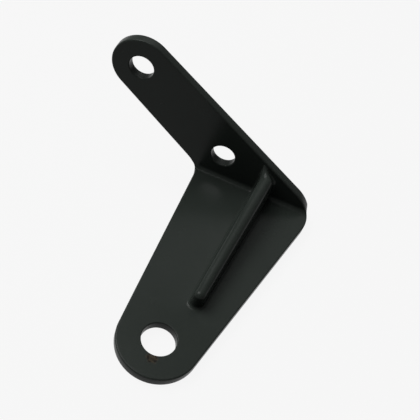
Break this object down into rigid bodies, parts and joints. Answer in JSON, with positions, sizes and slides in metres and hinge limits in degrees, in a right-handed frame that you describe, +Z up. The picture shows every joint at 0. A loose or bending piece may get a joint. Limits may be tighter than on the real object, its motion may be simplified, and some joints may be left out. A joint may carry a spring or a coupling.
{
  "type": "horn bracket",
  "caption": "Folded sheet-steel bracket: a slanting bolt-on arm stands square to a tapered tongue with a stud hole for a horn, stiffened by a pressed rib.",
  "frame": {"origin": "centre of the arm's inner bolt hole, on the arm's back face that lies against the frame", "axes": "+Y out of the arm's back face, away from the tongue; +Z up the arm, square to the tongue; +X along the fold, from the arm's free end towards the fold's outer corner; the tongue runs along -Y"},
  "size_m": [0.0773, 0.083, 0.0447],
  "materials": {
    "gloss_black_paint": "gloss"
  },
  "bodies": {
    "root": {"bracket": "gloss_black_paint"}
  },
  "joints": []
}
